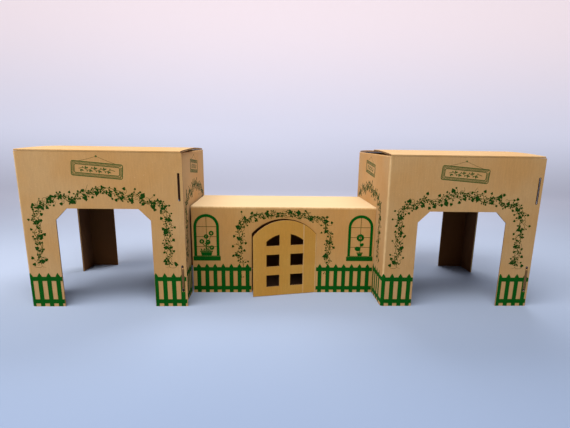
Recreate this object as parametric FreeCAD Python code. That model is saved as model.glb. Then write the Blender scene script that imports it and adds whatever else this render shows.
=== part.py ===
import FreeCAD, Part
import math
import os

from FreeCAD import Vector

# Castle of folded corrugated board, in millimetres.
# Two open-bottomed towers stand either side of a low hall with a hinged door.
# X runs along the castle, Y runs from the front to the back, Z is up.

# Board and print
BOARD = 4.0
BEND_OUTER = 5.0
BEND_INNER = 1.0
INK = 0.15

# Tower box: its front panel, depth and closed height
TOWER_W = 406.0
TOWER_D = 406.0
TOWER_H = 406.0

# The front panel's free edge runs past the side wall that is slotted into it
LAP = 8.0
SEAM_GAP = 0.3
SLOT_W = 6.0
SLOT_TAB_OFFSET = 1.2
UPPER_SLOT = (282.0, 71.0)
LOWER_SLOT = (41.0, 73.0)
TAB_END_GAP = 3.0
TAB_SHOULDER = 9.0
UPPER_TAB_REACH = -3.4
LOWER_TAB_REACH = 2.0

# Openings cut in the tower walls
FRONT_LEG = 84.5
FRONT_LINTEL = 144.5
BACK_LEG = 87.0
SIDE_REAR_LEG = 85.0
SIDE_LINTEL = 162.0
ARCH_CHAMFER = 29.5

# Top flaps: the side pair folds in under the front and back pair
FLAP_SEAT = 0.5
FLAP_MEETING_GAP = 2.0
FLAP_SIDE_GAP = 3.0
UNDER_FLAP_END_GAP = 2.0
FOLD_ROUND = 2.5
FLAP_FOLD_ROUND = 1.2
FLAP_RISE = {
    "left_tower_front": 5.0,
    "left_tower_back": 5.0,
    "right_tower_front": 8.0,
    "right_tower_back": 5.0,
}

# Hall between the towers
TOWER_SPACING = 521.0
HALL_SETBACK = 112.0
HALL_D = 260.0
HALL_H = 254.0
HALL_LEFT_GAP = 5.0
HALL_RIGHT_GAP = 0.5

# Door, cut from the hall's front and hinged on a crease at its right side
DOOR_W = 186.0
DOOR_HINGE_TO_TOWER = 168.5
DOOR_SPRING_H = 176.0
DOOR_RISE = 44.0
DOOR_CUT = 0.8
DOOR_FLOOR_GAP = 1.0
DOOR_ANGLE = 13.0
DOOR_CREASE_W = 1.6
DOOR_CREASE_DEPTH = 0.6
PANE_W = 38.0
PANE_H = 35.0
PANE_BAR_W = 32.0
PANE_BAR_H = 25.0
PANE_SILL = 27.0

# Corners of the round spots in the print
DOT_SIDES = 7

# Printed picket fence
PICKET_PITCH = 23.1
PICKET_W = 11.4
PICKET_SHOULDER = 83.5
PICKET_TIP = 93.0
FIRST_PICKET = 4.0
HALL_FENCE_DROP = 5.0
RAIL_H = 11.5
LOWER_RAIL_Z = 8.5
UPPER_RAIL_Z = 70.5
FENCE_EDGE = 1.5
TOWER_LEG_PICKETS = 4

# Printed ivy garland
IVY_OFFSET = 47.0
IVY_FOOT = 104.0
IVY_DROP = 97.0
IVY_HEAD = 63.0
HALL_IVY_DROP = 30.5
IVY_POWER = 2.6
IVY_STEM_W = 2.2
IVY_STEM_WAVE = 4.5
IVY_WAVE_LENGTH = 66.0
LEAF_PITCH = 22.5
LEAF_REACH = 12.5
LEAF_LENGTH = 14.0
LEAF_W = 12.5

# Printed sign board, hung from a nail on a cord
SIGN_W = 126.0
SIGN_H = 37.0
SIGN_DROP = 48.0
SIGN_TILT = 4.6
SIGN_FRAME = 8.0
NAIL_DROP = 15.0
SIGN_NAIL_R = 2.6
SIGN_CORD_W = 1.8

# Printed windows on the hall
WINDOW_W = 72.0
WINDOW_FRAME = 8.5
WINDOW_DROP = 58.0
WINDOW_BASE = 111.0
WINDOW_END = 41.0
WINDOW_BAR = 3.0
WINDOW_PANE_H = 29.0
WINDOW_SILL_W = 78.0
WINDOW_SILL_H = 14.5
POT_W = 30.0
POT_H = 14.0
FLOWER_R = 5.5

# Placement of the whole castle about its own middle
SIDE_WALL_X = TOWER_W - LAP
WALL_TOP = TOWER_H - BOARD - FLAP_SEAT
SIDE_FRONT_LEG = HALL_SETBACK + BOARD
FRONT_ARCH_H = TOWER_H - FRONT_LINTEL
SIDE_ARCH_H = TOWER_H - SIDE_LINTEL
HALL_L = TOWER_SPACING + LAP - HALL_LEFT_GAP - HALL_RIGHT_GAP
CASTLE_L = 2.0 * TOWER_W + TOWER_SPACING
MIDDLE_X = (CASTLE_L - INK) / 2.0
MIDDLE_Y = (TOWER_D - LOWER_TAB_REACH) / 2.0
LEFT_TOWER_X = -MIDDLE_X
RIGHT_TOWER_X = LEFT_TOWER_X + TOWER_W + TOWER_SPACING
FRONT_Y = -MIDDLE_Y
HALL_X = LEFT_TOWER_X + SIDE_WALL_X + HALL_LEFT_GAP
HALL_Y = FRONT_Y + HALL_SETBACK
HINGE_X = HALL_L - DOOR_HINGE_TO_TOWER

# Levels of the print
SIGN_Z = TOWER_H - SIGN_DROP
SIGN_NAIL_Z = TOWER_H - NAIL_DROP
IVY_CROWN = TOWER_H - IVY_DROP
IVY_SHOULDER = IVY_CROWN - IVY_HEAD
HALL_IVY_CROWN = HALL_H - HALL_IVY_DROP
WINDOW_SPRING = HALL_H - WINDOW_DROP

os.makedirs("parts", exist_ok=True)


def box(x0, x1, y0, y1, z0, z1):
    """Solid block between two corners."""
    return Part.makeBox(x1 - x0, y1 - y0, z1 - z0, Vector(x0, y0, z0))


def flat(points, y0, y1):
    """Solid with an outline of (x, z) points, between two depths."""
    corners = [Vector(x, y0, z) for x, z in points]
    face = Part.Face(Part.makePolygon(corners + corners[:1]))
    return face.extrude(Vector(0, y1 - y0, 0))


def flat_edges(edges, y0, y1):
    """Solid with an outline of edges drawn at depth y0, reaching depth y1."""
    return Part.Face(Part.Wire(edges)).extrude(Vector(0, y1 - y0, 0))


def moved(shape, x=0.0, y=0.0, z=0.0, turn=0.0):
    """Copy of a shape turned about the Z axis and then shifted."""
    result = shape.copy()
    result.rotate(Vector(0, 0, 0), Vector(0, 0, 1), turn)
    result.translate(Vector(x, y, z))
    return result


def on_right_wall(shape):
    return moved(shape, SIDE_WALL_X, 0.0, 0.0, 90.0)


def on_left_wall(shape):
    return moved(shape, 0.0, TOWER_D, 0.0, -90.0)


def on_back_wall(shape):
    return moved(shape, SIDE_WALL_X, TOWER_D, 0.0, 180.0)


def upright_edges(shape, spots):
    """Vertical edges of a shape that stand on the given (x, y) spots."""
    found = []
    for edge in shape.Edges:
        first = edge.Vertexes[0].Point
        last = edge.Vertexes[-1].Point
        upright = abs(first.x - last.x) < 0.01 and abs(first.y - last.y) < 0.01
        if upright and any(math.hypot(first.x - x, first.y - y) < 0.1 for x, y in spots):
            found.append(edge)
    return found


# Tower walls

def arch_cutter(start, end, height):
    """Cutter for a doorway with chamfered top corners, through the wall at y = 0."""
    outline = [
        (start, -BOARD), (start, height - ARCH_CHAMFER), (start + ARCH_CHAMFER, height),
        (end - ARCH_CHAMFER, height), (end, height - ARCH_CHAMFER), (end, -BOARD),
    ]
    return flat(outline, -BOARD, 2.0 * BOARD)


def wall_ring():
    """The four wall panels, one strip bent at three corners."""
    seam_y = BOARD + SEAM_GAP
    inner_x = SIDE_WALL_X - BOARD
    inner_y = TOWER_D - BOARD
    plan = [
        (TOWER_W, 0.0), (0.0, 0.0), (0.0, TOWER_D), (SIDE_WALL_X, TOWER_D),
        (SIDE_WALL_X, seam_y), (inner_x, seam_y), (inner_x, inner_y),
        (BOARD, inner_y), (BOARD, BOARD), (TOWER_W, BOARD),
    ]
    corners = [Vector(x, y, 0.0) for x, y in plan]
    ring = Part.Face(Part.makePolygon(corners + corners[:1])).extrude(Vector(0, 0, WALL_TOP))
    outer = [(0.0, 0.0), (0.0, TOWER_D), (SIDE_WALL_X, TOWER_D)]
    inner = [(BOARD, BOARD), (BOARD, inner_y), (inner_x, inner_y)]
    ring = ring.makeFillet(BEND_OUTER, upright_edges(ring, outer))
    return ring.makeFillet(BEND_INNER, upright_edges(ring, inner))


def slot_cutter(low, length):
    """Round-ended upright slot through the front panel."""
    left = SIDE_WALL_X - BOARD - SLOT_TAB_OFFSET
    middle = left + SLOT_W / 2.0
    radius = SLOT_W / 2.0
    bar = box(left, left + SLOT_W, -BOARD, BOARD + SEAM_GAP, low + radius, low + length - radius)
    ends = []
    for z in (low + radius, low + length - radius):
        centre = Vector(middle, -BOARD, z)
        ends.append(Part.makeCylinder(radius, 2.0 * BOARD + SEAM_GAP, centre, Vector(0, 1, 0)))
    return bar.fuse(ends)


def slot_tab(low, length, reach):
    """Tab on the side wall's free edge, standing in a slot of the front panel."""
    bottom = low + TAB_END_GAP
    top = low + length - TAB_END_GAP
    root = BOARD + SEAM_GAP
    inner_x = SIDE_WALL_X - BOARD
    outline = [
        (root + 1.0, bottom), (root, bottom), (-reach, bottom + TAB_SHOULDER),
        (-reach, top - TAB_SHOULDER), (root, top), (root + 1.0, top),
    ]
    corners = [Vector(inner_x, y, z) for y, z in outline]
    return Part.Face(Part.makePolygon(corners + corners[:1])).extrude(Vector(BOARD, 0, 0))


def under_flap(left, right):
    """Top flap of a side wall, folded flat under the front and back flaps."""
    front = BOARD + UNDER_FLAP_END_GAP
    return box(left, right, front, TOWER_D - front, WALL_TOP - BOARD, WALL_TOP)


def fold_cutter(wall_x, inward):
    """Rounds the top outer edge of a side wall, where its flap folds in."""
    start = BEND_OUTER + UNDER_FLAP_END_GAP
    length = TOWER_D - 2.0 * start
    axis_x = wall_x + inward * FOLD_ROUND
    axis = Vector(axis_x, start, WALL_TOP - FOLD_ROUND)
    corner = box(min(wall_x - inward, axis_x), max(wall_x - inward, axis_x),
                 start, start + length, WALL_TOP - FOLD_ROUND, WALL_TOP + 1.0)
    return corner.cut(Part.makeCylinder(FOLD_ROUND, length, axis, Vector(0, 1, 0)))


def tower_walls():
    """One sheet: four walls, two under flaps, two slots and the tabs in them."""
    sheet = wall_ring()
    middle = SIDE_WALL_X / 2.0
    half_gap = FLAP_MEETING_GAP / 2.0
    flaps = [
        under_flap(BOARD / 2.0, middle - half_gap),
        under_flap(middle + half_gap, SIDE_WALL_X - BOARD / 2.0),
    ]
    sheet = sheet.fuse(flaps)
    side_end = TOWER_D - SIDE_REAR_LEG
    cutters = [
        arch_cutter(FRONT_LEG, TOWER_W - FRONT_LEG, FRONT_ARCH_H),
        on_back_wall(arch_cutter(BACK_LEG, SIDE_WALL_X - BACK_LEG, FRONT_ARCH_H)),
        on_right_wall(arch_cutter(SIDE_FRONT_LEG, side_end, SIDE_ARCH_H)),
        on_left_wall(arch_cutter(SIDE_REAR_LEG, TOWER_D - SIDE_FRONT_LEG, SIDE_ARCH_H)),
        slot_cutter(*UPPER_SLOT),
        slot_cutter(*LOWER_SLOT),
        fold_cutter(0.0, 1.0),
        fold_cutter(SIDE_WALL_X, -1.0),
    ]
    sheet = sheet.cut(cutters)
    tabs = [slot_tab(*UPPER_SLOT, UPPER_TAB_REACH), slot_tab(*LOWER_SLOT, LOWER_TAB_REACH)]
    return sheet.fuse(tabs).removeSplitter()


def top_flap(wall_length, rise):
    """Top flap of a wall on y = 0, sprung up by its crease into a shallow bow."""
    length = (TOWER_D - FLAP_MEETING_GAP) / 2.0
    lean = 2.0 * math.atan2(rise, length)
    radius = length / math.sin(lean)
    arc_ends = []
    for offset in (0.0, BOARD):
        bow = radius - offset
        points = []
        for part in (0.0, 0.5, 1.0):
            angle = lean * (1.0 - part)
            y = radius * math.sin(lean) - bow * math.sin(angle)
            z = TOWER_H - radius * math.cos(lean) + bow * math.cos(angle)
            points.append(Vector(FLAP_SIDE_GAP, y, z))
        arc_ends.append(points)
    upper, lower = arc_ends
    edges = [
        Part.Arc(*upper).toShape(),
        Part.makeLine(upper[2], lower[2]),
        Part.Arc(*lower[::-1]).toShape(),
        Part.makeLine(lower[0], upper[0]),
    ]
    width = wall_length - 2.0 * FLAP_SIDE_GAP
    flap = Part.Face(Part.Wire(edges)).extrude(Vector(width, 0, 0))
    fold_middle = Vector(wall_length / 2.0, upper[0].y, upper[0].z)
    fold = [edge for edge in flap.Edges if edge.CenterOfMass.sub(fold_middle).Length < 0.1]
    return flap.makeFillet(FLAP_FOLD_ROUND, fold)


# Hall

def door_arc(radius_inset, y):
    """Centre height and radius of the arcs about the door's arched top."""
    half = DOOR_W / 2.0
    radius = (half ** 2 + DOOR_RISE ** 2) / (2.0 * DOOR_RISE)
    return Vector(half, y, DOOR_SPRING_H + DOOR_RISE - radius), radius - radius_inset


def arched_outline(left, right, base, inset, y):
    """Edges of an outline with upright sides and the door's arc on top."""
    centre, radius = door_arc(inset, y)
    heights = [centre.z + math.sqrt(radius ** 2 - (x - centre.x) ** 2) for x in (left, right)]
    mid_x = (left + right) / 2.0
    crown = Vector(mid_x, y, centre.z + math.sqrt(radius ** 2 - (mid_x - centre.x) ** 2))
    start = Vector(left, y, heights[0])
    end = Vector(right, y, heights[1])
    foot_left = Vector(left, y, base)
    foot_right = Vector(right, y, base)
    return [
        Part.makeLine(foot_left, start),
        Part.Arc(start, crown, end).toShape(),
        Part.makeLine(end, foot_right),
        Part.makeLine(foot_right, foot_left),
    ]


def door():
    """Arched door with six panes, its hinge crease on x = DOOR_W and its face on y = 0."""
    left = DOOR_CUT
    right = DOOR_W - DOOR_CUT / 2.0
    leaf = flat_edges(arched_outline(left, right, DOOR_FLOOR_GAP, DOOR_CUT, 0.0), 0.0, BOARD)
    margin = (DOOR_W - 2.0 * PANE_W - PANE_BAR_W) / 2.0
    cutters = []
    for column in range(2):
        start = margin + column * (PANE_W + PANE_BAR_W)
        for row in range(2):
            low = PANE_SILL + row * (PANE_H + PANE_BAR_H)
            cutters.append(box(start, start + PANE_W, -BOARD, 2.0 * BOARD, low, low + PANE_H))
        low = PANE_SILL + 2 * (PANE_H + PANE_BAR_H)
        outline = arched_outline(start, start + PANE_W, low, margin, -BOARD)
        cutters.append(flat_edges(outline, -BOARD, 2.0 * BOARD))
    crease = DOOR_W - margin
    cutters.append(box(crease, crease + DOOR_CREASE_W, -1.0, DOOR_CREASE_DEPTH, 0.0, TOWER_H))
    return leaf.cut(cutters)


def hall_walls():
    """One sheet bent over the front, top and back, with the doorway cut in it."""
    section = [
        (0.0, 0.0), (0.0, HALL_H), (HALL_D, HALL_H), (HALL_D, 0.0), (HALL_D - BOARD, 0.0),
        (HALL_D - BOARD, HALL_H - BOARD), (BOARD, HALL_H - BOARD), (BOARD, 0.0),
    ]
    corners = [Vector(0.0, y, z) for y, z in section]
    sheet = Part.Face(Part.makePolygon(corners + corners[:1])).extrude(Vector(HALL_L, 0, 0))
    folds = []
    for edge in sheet.Edges:
        point = edge.CenterOfMass
        if edge.Length > HALL_L - 1.0 and abs(point.z - HALL_H) < 0.01:
            folds.append(edge)
    sheet = sheet.makeFillet(BEND_OUTER, folds)
    doorway = flat_edges(arched_outline(0.0, DOOR_W, -BOARD, 0.0, -BOARD), -BOARD, 2.0 * BOARD)
    return sheet.cut(moved(doorway, HINGE_X - DOOR_W))


# Print

def ink(points):
    """Patch of ink on the wall at y = 0, with an outline of (x, z) points."""
    return flat(points, -INK, 0.0)


def bar(x0, x1, z0, z1):
    return ink([(x0, z0), (x1, z0), (x1, z1), (x0, z1)])


def dot(x, z, radius, sides=DOT_SIDES):
    """Small many-sided dot of ink."""
    turns = [2.0 * math.pi * number / sides for number in range(sides)]
    return ink([(x + radius * math.cos(turn), z + radius * math.sin(turn)) for turn in turns])


def picket(centre, start, end, drop):
    """Pointed picket, cut off where the fence starts or ends."""
    half = PICKET_W / 2.0
    slope = (PICKET_TIP - PICKET_SHOULDER) / half
    left = max(centre - half, start)
    right = min(centre + half, end)
    spots = [right, centre, left] if left < centre < right else [right, left]
    top = [(x, PICKET_TIP - drop - slope * abs(x - centre)) for x in spots]
    return ink([(left, 0.0), (right, 0.0)] + top)


def fence(start, end, centres, drop=0.0):
    """Pointed pickets at the given centres, with two rails between start and end."""
    half = PICKET_W / 2.0
    patches = [picket(centre, start, end, drop) for centre in centres]
    edges = [start]
    for centre in centres:
        edges += [max(centre - half, start), min(centre + half, end)]
    edges.append(end)
    for left, right in zip(edges[0::2], edges[1::2]):
        if right - left < FENCE_EDGE:
            continue
        for low in (LOWER_RAIL_Z, UPPER_RAIL_Z - drop):
            patches.append(bar(left, right, low, low + RAIL_H))
    return patches


def pickets_from(first, count, step=PICKET_PITCH):
    return [first + number * step for number in range(count)]


def arch_path(left, right, foot, shoulder, crown):
    """Points and headings along a garland over an opening, foot to foot."""
    centre = (left + right) / 2.0
    half = (right - left) / 2.0
    leg = shoulder - foot
    points = [(left, foot + leg * step / 6.0) for step in range(6)]
    steps = 24
    for step in range(steps + 1):
        angle = math.pi * (1.0 - step / steps)
        across = math.copysign(abs(math.cos(angle)) ** (2.0 / IVY_POWER), math.cos(angle))
        up = abs(math.sin(angle)) ** (2.0 / IVY_POWER)
        points.append((centre + half * across, shoulder + (crown - shoulder) * up))
    points += [(right, shoulder - leg * step / 6.0) for step in range(1, 7)]
    return points


def along(points, spacing):
    """Evenly spaced (x, z, heading, distance) samples along a line of points."""
    samples = []
    travelled = 0.0
    due = spacing / 2.0
    for (x0, z0), (x1, z1) in zip(points, points[1:]):
        length = math.hypot(x1 - x0, z1 - z0)
        heading = math.atan2(z1 - z0, x1 - x0)
        while length > 0.0 and due <= travelled + length:
            part = (due - travelled) / length
            samples.append((x0 + part * (x1 - x0), z0 + part * (z1 - z0), heading, due))
            due += spacing
        travelled += length
    return samples


def leaf(x, z, heading, size):
    """Ivy leaf: a pointed dart with two lobes and a notch at its stalk."""
    shape = [(0.0, 0.0), (-0.22, 0.5), (1.0, 0.0), (-0.22, -0.5)]
    outline = []
    for forward, side in shape:
        u = forward * LEAF_LENGTH * size
        v = side * LEAF_W * size
        outline.append((
            x + u * math.cos(heading) - v * math.sin(heading),
            z + u * math.sin(heading) + v * math.cos(heading),
        ))
    return ink(outline)


def garland(left, right, foot=IVY_FOOT, shoulder=IVY_SHOULDER, crown=IVY_CROWN):
    """Waving stem over an opening, with leaves on both of its sides."""
    path = arch_path(left, right, foot, shoulder, crown)
    one_side = []
    other_side = []
    for x, z, heading, distance in along(path, IVY_WAVE_LENGTH / 4.0):
        sway = IVY_STEM_WAVE * math.sin(2.0 * math.pi * distance / IVY_WAVE_LENGTH)
        for line, half in ((one_side, IVY_STEM_W / 2.0), (other_side, -IVY_STEM_W / 2.0)):
            offset = sway + half
            line.append((x - offset * math.sin(heading), z + offset * math.cos(heading)))
    patches = [ink(one_side + other_side[::-1])]
    for number, (x, z, heading, distance) in enumerate(along(path, LEAF_PITCH)):
        side = 1.0 if number % 2 else -1.0
        lean = side * math.radians(62.0 + 22.0 * math.sin(2.4 * number))
        reach = side * (LEAF_REACH + 2.5 * math.sin(1.7 * number))
        size = 0.82 + 0.18 * math.sin(3.1 * number)
        spot_x = x - reach * math.sin(heading)
        spot_z = z + reach * math.cos(heading)
        patches.append(leaf(spot_x, spot_z, heading + lean, size))
    return patches


def rotated_about(points, x, z, degrees):
    angle = math.radians(degrees)
    result = []
    for u, v in points:
        result.append((
            x + u * math.cos(angle) - v * math.sin(angle),
            z + u * math.sin(angle) + v * math.cos(angle),
        ))
    return result


def sign(centre):
    """Empty sign board hung askew, with its frame, cord and nail."""
    half_w = SIGN_W / 2.0
    half_h = SIGN_H / 2.0
    patches = []
    sides = [
        [(-half_w, -half_h), (half_w, -half_h), (half_w - SIGN_FRAME, SIGN_FRAME - half_h),
         (SIGN_FRAME - half_w, SIGN_FRAME - half_h)],
        [(-half_w, -half_h), (SIGN_FRAME - half_w, SIGN_FRAME - half_h),
         (SIGN_FRAME - half_w, half_h - SIGN_FRAME), (-half_w, half_h)],
    ]
    for outline in sides:
        for turn in (0.0, 180.0):
            patches.append(ink(rotated_about(outline, centre, SIGN_Z, turn - SIGN_TILT)))
    knots = rotated_about([(-half_w / 2.0, half_h), (half_w / 2.0, half_h)], centre, SIGN_Z, -SIGN_TILT)
    half_cord = SIGN_CORD_W / 2.0
    for (x, z), side in zip(knots, (-1.0, 1.0)):
        start = centre + side * SIGN_NAIL_R
        patches.append(ink([
            (x, z), (x + SIGN_CORD_W, z), (start + half_cord, SIGN_NAIL_Z), (start - half_cord, SIGN_NAIL_Z),
        ]))
    patches.append(dot(centre, SIGN_NAIL_Z, SIGN_NAIL_R - half_cord))
    return patches


def round_topped(half, base, y=-INK):
    """Edges of a window outline with a half-round top, centred on x = 0."""
    start = Vector(-half, y, WINDOW_SPRING)
    crown = Vector(0.0, y, WINDOW_SPRING + half)
    end = Vector(half, y, WINDOW_SPRING)
    foot_left = Vector(-half, y, base)
    foot_right = Vector(half, y, base)
    return [
        Part.makeLine(foot_left, start),
        Part.Arc(start, crown, end).toShape(),
        Part.makeLine(end, foot_right),
        Part.makeLine(foot_right, foot_left),
    ]


def window(flowers):
    """Arched window with bars, a sill and a potted plant, centred on x = 0."""
    half = WINDOW_W / 2.0
    inner = half - WINDOW_FRAME
    frame = flat_edges(round_topped(half, WINDOW_BASE), -INK, 0.0)
    frame = frame.cut(flat_edges(round_topped(inner, WINDOW_BASE), -INK, 0.0))
    bar_half = WINDOW_BAR / 2.0
    bars = [bar(-bar_half, bar_half, WINDOW_BASE + POT_H, WINDOW_SPRING + inner)]
    for row in range(3):
        level = WINDOW_SPRING - row * WINDOW_PANE_H
        bars.append(bar(-inner, inner, level - bar_half, level + bar_half))
    sill_half = WINDOW_SILL_W / 2.0
    bars.append(bar(-sill_half, sill_half, WINDOW_BASE - WINDOW_SILL_H, WINDOW_BASE))
    bars.append(bar(-POT_W / 2.0, POT_W / 2.0, WINDOW_BASE, WINDOW_BASE + POT_H))
    bars += [dot(x, WINDOW_BASE + z, FLOWER_R) for x, z in flowers]
    return frame.fuse(bars).removeSplitter()


def tower_fence_print():
    """Fences at the feet of the front and side walls."""
    front_foot = TOWER_W - FRONT_LEG
    left_run = pickets_from(FRONT_LEG - PICKET_W, TOWER_LEG_PICKETS, -PICKET_PITCH)[::-1]
    right_run = pickets_from(front_foot + FIRST_PICKET, TOWER_LEG_PICKETS)
    slot = slot_cutter(*LOWER_SLOT)
    patches = fence(BEND_OUTER, FRONT_LEG, left_run)
    patches += [patch.cut(slot) for patch in fence(front_foot, TOWER_W - FENCE_EDGE, right_run)]
    rear_foot = TOWER_D - SIDE_REAR_LEG
    near_run = pickets_from(SIDE_FRONT_LEG - PICKET_W, TOWER_LEG_PICKETS, -PICKET_PITCH)[::-1]
    far_run = pickets_from(rear_foot + FIRST_PICKET, TOWER_LEG_PICKETS)
    right = fence(BEND_OUTER, SIDE_FRONT_LEG, near_run)
    right += fence(rear_foot, TOWER_D - BEND_OUTER, far_run)
    patches += [on_right_wall(patch) for patch in right]
    near_left = [TOWER_D - centre for centre in near_run][::-1]
    far_left = [TOWER_D - centre for centre in far_run][::-1]
    left = fence(BEND_OUTER, SIDE_REAR_LEG, far_left)
    left += fence(TOWER_D - SIDE_FRONT_LEG, TOWER_D - BEND_OUTER, near_left)
    patches += [on_left_wall(patch) for patch in left]
    return Part.makeCompound(patches)


def tower_ivy_print():
    """A garland over the opening of the front and side walls."""
    front = garland(FRONT_LEG - IVY_OFFSET, TOWER_W - FRONT_LEG + IVY_OFFSET)
    rear_end = TOWER_D - SIDE_REAR_LEG + IVY_OFFSET
    right = garland(SIDE_FRONT_LEG - IVY_OFFSET, rear_end)
    left = garland(TOWER_D - rear_end, TOWER_D - SIDE_FRONT_LEG + IVY_OFFSET)
    patches = front
    patches += [on_right_wall(patch) for patch in right]
    patches += [on_left_wall(patch) for patch in left]
    return Part.makeCompound(patches)


def tower_sign_print():
    """A sign over the opening of the front and side walls."""
    side_centre = (SIDE_FRONT_LEG + TOWER_D - SIDE_REAR_LEG) / 2.0
    patches = sign(TOWER_W / 2.0)
    patches += [on_right_wall(patch) for patch in sign(side_centre)]
    patches += [on_left_wall(patch) for patch in sign(TOWER_D - side_centre)]
    return Part.makeCompound(patches)


def hall_fence_print():
    """Fences on the hall's front, up to the doorway on both sides."""
    door_left = HINGE_X - DOOR_W
    left_count = int((door_left - FENCE_EDGE) // PICKET_PITCH)
    right_count = int((HALL_L - HINGE_X - FENCE_EDGE) // PICKET_PITCH)
    first = HINGE_X + FENCE_EDGE + PICKET_W
    left_first = door_left - FENCE_EDGE - PICKET_W
    left = pickets_from(left_first, left_count, -PICKET_PITCH)[::-1]
    patches = fence(FENCE_EDGE, door_left - FENCE_EDGE, left, HALL_FENCE_DROP)
    right = pickets_from(first, right_count)
    patches += fence(HINGE_X + FENCE_EDGE, HALL_L - FENCE_EDGE, right, HALL_FENCE_DROP)
    return Part.makeCompound(patches)


def hall_ivy_print():
    """Garland over the doorway."""
    offset = IVY_OFFSET - LEAF_REACH
    left = HINGE_X - DOOR_W - offset
    return Part.makeCompound(garland(left, HINGE_X + offset, PICKET_TIP, DOOR_SPRING_H, HALL_IVY_CROWN))


def hall_window_print():
    """A window near each end, one with a trough of flowers and one with a single bloom."""
    trough = [(13.0, 66.0), (-1.0, 56.0), (-13.0, 42.0), (4.0, 40.0), (13.0, 23.0)]
    bloom = [(0.0, 55.0)]
    return Part.makeCompound([
        moved(window(trough), WINDOW_END),
        moved(window(bloom), HALL_L - WINDOW_END),
    ])


def save(name, shape):
    shape.exportStep("parts/" + name + ".step")


def build_tower(name, x):
    """Save one tower's sheet, its two top flaps and its print."""
    save(name + "_walls", moved(tower_walls(), x, FRONT_Y))
    front_flap = top_flap(TOWER_W, FLAP_RISE[name + "_front"])
    save(name + "_front_flap", moved(front_flap, x, FRONT_Y))
    back_flap = on_back_wall(top_flap(SIDE_WALL_X, FLAP_RISE[name + "_back"]))
    save(name + "_back_flap", moved(back_flap, x, FRONT_Y))
    save(name + "_fence_print", moved(tower_fence_print(), x, FRONT_Y))
    save(name + "_ivy_print", moved(tower_ivy_print(), x, FRONT_Y))
    save(name + "_sign_print", moved(tower_sign_print(), x, FRONT_Y))


def build_hall():
    """Save the hall's sheet, its door standing ajar and its print."""
    save("hall_walls", moved(hall_walls(), HALL_X, HALL_Y))
    leaf_at_hinge = moved(door(), -DOOR_W)
    save("door", moved(leaf_at_hinge, HALL_X + HINGE_X, HALL_Y, 0.0, DOOR_ANGLE))
    save("hall_fence_print", moved(hall_fence_print(), HALL_X, HALL_Y))
    save("hall_ivy_print", moved(hall_ivy_print(), HALL_X, HALL_Y))
    save("hall_window_print", moved(hall_window_print(), HALL_X, HALL_Y))


build_tower("left_tower", LEFT_TOWER_X)
build_tower("right_tower", RIGHT_TOWER_X)
build_hall()
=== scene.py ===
import bpy
import math
import random
from mathutils import Matrix, Vector


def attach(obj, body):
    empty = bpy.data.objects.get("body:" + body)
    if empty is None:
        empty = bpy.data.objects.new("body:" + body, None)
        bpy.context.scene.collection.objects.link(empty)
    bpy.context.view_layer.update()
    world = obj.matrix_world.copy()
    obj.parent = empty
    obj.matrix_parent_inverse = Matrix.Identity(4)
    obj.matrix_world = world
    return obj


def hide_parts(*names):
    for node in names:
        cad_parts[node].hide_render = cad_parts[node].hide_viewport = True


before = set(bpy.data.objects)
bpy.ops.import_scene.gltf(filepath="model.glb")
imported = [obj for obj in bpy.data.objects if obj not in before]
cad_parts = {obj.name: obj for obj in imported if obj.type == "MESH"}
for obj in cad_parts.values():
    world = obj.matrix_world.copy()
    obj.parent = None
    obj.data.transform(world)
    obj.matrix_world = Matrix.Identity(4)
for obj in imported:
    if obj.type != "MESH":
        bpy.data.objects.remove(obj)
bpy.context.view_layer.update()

# Sizes and places shared with the CAD, in metres
TOWER = 0.406
SIDE = 0.398
BOARD = 0.004
LEFT_X = -0.666425
RIGHT_X = 0.260575
FRONT_Y = -0.202
HALL_X = -0.263425
HALL_Y = -0.090
HALL_L = 0.5235
HALL_D = 0.260
HALL_H = 0.254
HINGE = 0.355
DOOR_W = 0.186
DOOR_CREASE = 0.0383
DOOR_AJAR = math.radians(13.0)
FLAP_REACH = 0.202
FRONT_FLAP_RISE = {"left_tower": 0.005, "right_tower": 0.008}
BACK_FLAP_RISE = 0.005
SLOT_X = 0.3958
SLOT_HALF_W = 0.0031
SLOT_LEVELS = ((0.281, 0.354), (0.040, 0.115))
FLUTE = 0.0068

# Limits that tell a sheet's parts from one another, in metres
IN_SHEET = 0.00405
PAST_BEND = 0.0052
INNER_FACE = 0.0038
TOWER_FOLD = 0.396
HALL_FOLD = 0.246

# Sizes for the print and for the openings that it keeps clear of, in millimetres
MM = 0.001
TOWER_MM = 406.0
BEND = 5.0
FRONT_LEG = 84.5
FRONT_ARCH_H = 261.5
SIDE_FRONT_LEG = 116.0
SIDE_REAR_LEG = 85.0
SIDE_ARCH_H = 244.0
CHAMFER = 29.5
DOOR_LEFT = (HINGE - DOOR_W) / MM
DOOR_RIGHT = HINGE / MM
DOOR_MIDDLE = 262.0
DOORWAY_HALF_W = 96.0
DOORWAY_ARC = (99.7, 123.0)
INK_MARGIN = 2.5

# The fence: its pickets and rails, and where the hall's pickets stand
PICKET = 11.4
PITCH = 23.1
PICKET_TIP = 93.0
RAILS = (8.5, 70.5)
RAIL_H = 11.5
FENCE_FOOT = 0.5
HALL_FENCE_DROP = 5.0
TOWER_SLOT = (392.4, 399.2, 41.0)
HALL_PICKETS = [DOOR_LEFT - 12.6 - 23.3 * step for step in range(7)][::-1]
HALL_PICKETS += [DOOR_RIGHT + 12.4 + 23.4 * step for step in range(7)]

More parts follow.
